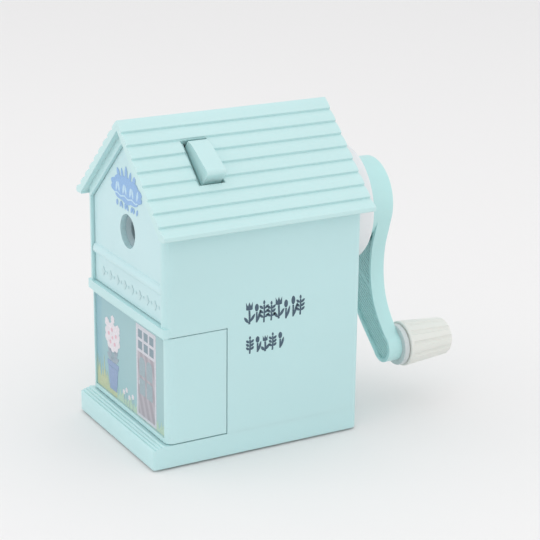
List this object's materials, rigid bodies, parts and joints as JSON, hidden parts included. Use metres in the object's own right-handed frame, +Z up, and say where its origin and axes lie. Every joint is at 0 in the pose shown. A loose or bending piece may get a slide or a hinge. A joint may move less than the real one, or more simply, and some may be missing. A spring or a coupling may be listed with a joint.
{
  "type": "hand-crank pencil sharpener",
  "caption": "Desk pencil sharpener shaped like a small house with a plank roof, a round pencil hole in the gable, a rear hand crank, roof release levers and a shavings drawer.",
  "frame": {"origin": "on the table under the middle of the whole object, porch edge to crank knob", "axes": "+Z up, -Y out of the pencil hole, +Y out of the crank shaft, +X towards the right-hand wall seen from the pencil hole"},
  "size_m": [0.071, 0.1252, 0.115],
  "materials": {
    "house_mint": "moulded ABS, pale mint, soft gloss",
    "roof_mint": "moulded ABS, pale mint, soft gloss",
    "crank_mint": "moulded ABS, pale mint, soft gloss",
    "collar_white": "moulded ABS, off-white",
    "knob_cream": "moulded ABS, cream",
    "seat_grey": "moulded, pale grey",
    "inner_white": "moulded POM or ABS, natural white",
    "dark_plastic": "moulded, black",
    "pad_rubber": "moulded rubber",
    "foot_rubber": "moulded rubber, pale grey",
    "zinc_steel": "zinc-plated steel",
    "cutter_steel": "hardened, ground steel",
    "spring_steel": "spring wire",
    "brass": "turned",
    "printed_card": "printed picture card, plain door scene"
  },
  "bodies": {
    "housing": {"base_plate": "house_mint", "rubber_feet": "foot_rubber", "base_screws": "zinc_steel", "house_shell": "house_mint", "roof": "roof_mint", "shavings_deck": "inner_white", "mechanism_frame": "inner_white", "frame_screws": "zinc_steel", "shaft_bush": "brass", "ring_gear": "zinc_steel", "rear_collar": "collar_white", "lever_pins": "zinc_steel", "lever_spacers": "inner_white", "lever_spring": "spring_steel", "return_spring_right": "spring_steel", "return_spring_left": "spring_steel"},
    "crank": {"cutter_carrier": "zinc_steel", "drive_shaft": "zinc_steel", "cutter_pin": "zinc_steel", "crank_arm": "crank_mint", "crank_screw": "zinc_steel", "crank_cap": "crank_mint", "knob_seat": "seat_grey", "knob_screw": "zinc_steel"},
    "cutter": {"helical_cutter": "cutter_steel", "cutter_pinion": "cutter_steel"},
    "crank_knob": {"knob": "knob_cream"},
    "sliding_front": {"front_plate": "house_mint", "clamp_block": "inner_white", "pencil_guide": "dark_plastic", "clamp_cover": "inner_white", "clamp_screws": "zinc_steel", "guide_rods": "zinc_steel", "rod_clips": "spring_steel"},
    "right_jaw": {"jaw_right": "inner_white", "jaw_pad_right": "pad_rubber"},
    "left_jaw": {"jaw_left": "inner_white", "jaw_pad_left": "pad_rubber"},
    "right_lever": {"release_lever_right": "roof_mint"},
    "left_lever": {"release_lever_left": "roof_mint"},
    "drawer": {"drawer_tray": "inner_white", "drawer_front": "house_mint", "picture_card": "printed_card"}
  },
  "joints": [
    {"name": "crank_turn", "type": "hinge", "parent": "housing", "child": "crank", "pos_m": [0, 0.01, 0.076], "axis": [0, 1, 0], "continuous": true},
    {"name": "cutter_spin", "type": "hinge", "parent": "crank", "child": "cutter", "pos_m": [0, 0.0015, 0.0815], "axis": [0, 0.9863, -0.165], "continuous": true},
    {"name": "knob_spin", "type": "hinge", "parent": "crank", "child": "crank_knob", "pos_m": [0.0186, 0.052, 0.024], "axis": [0, 1, 0], "continuous": true},
    {"name": "front_slide", "type": "slide", "parent": "housing", "child": "sliding_front", "axis": [0, -1, 0], "range_m": [0, 0.022], "stiffness_N_per_m": 120, "springref_m": -0.02, "deforming": ["return_spring_right", "return_spring_left"]},
    {"name": "right_jaw_slide", "type": "slide", "parent": "sliding_front", "child": "right_jaw", "axis": [1, 0, 0], "range_m": [0, 0.0017]},
    {"name": "left_jaw_slide", "type": "slide", "parent": "sliding_front", "child": "left_jaw", "axis": [-1, 0, 0], "range_m": [0, 0.0017]},
    {"name": "right_lever_press", "type": "hinge", "parent": "housing", "child": "right_lever", "pos_m": [0.0165, -0.03465, 0.0915], "axis": [0, -1, 0], "range_deg": [0, 8], "stiffness_Nm_per_rad": 0.03, "springref_deg": -2.86, "deforming": ["lever_spring"]},
    {"name": "left_lever_press", "type": "hinge", "parent": "housing", "child": "left_lever", "pos_m": [-0.0165, -0.03465, 0.0915], "axis": [0, 1, 0], "range_deg": [0, 8], "stiffness_Nm_per_rad": 0.03, "springref_deg": -2.86, "deforming": ["lever_spring"]},
    {"name": "drawer_slide", "type": "slide", "parent": "housing", "child": "drawer", "axis": [0, -1, 0], "range_m": [0, 0.04]}
  ],
  "couplings": [
    {"joint": "cutter_spin", "follows": "crank_turn", "ratio": -2},
    {"joint": "right_lever_press", "follows": "right_jaw_slide", "rad_per_m": 82},
    {"joint": "left_lever_press", "follows": "left_jaw_slide", "rad_per_m": 82}
  ]
}
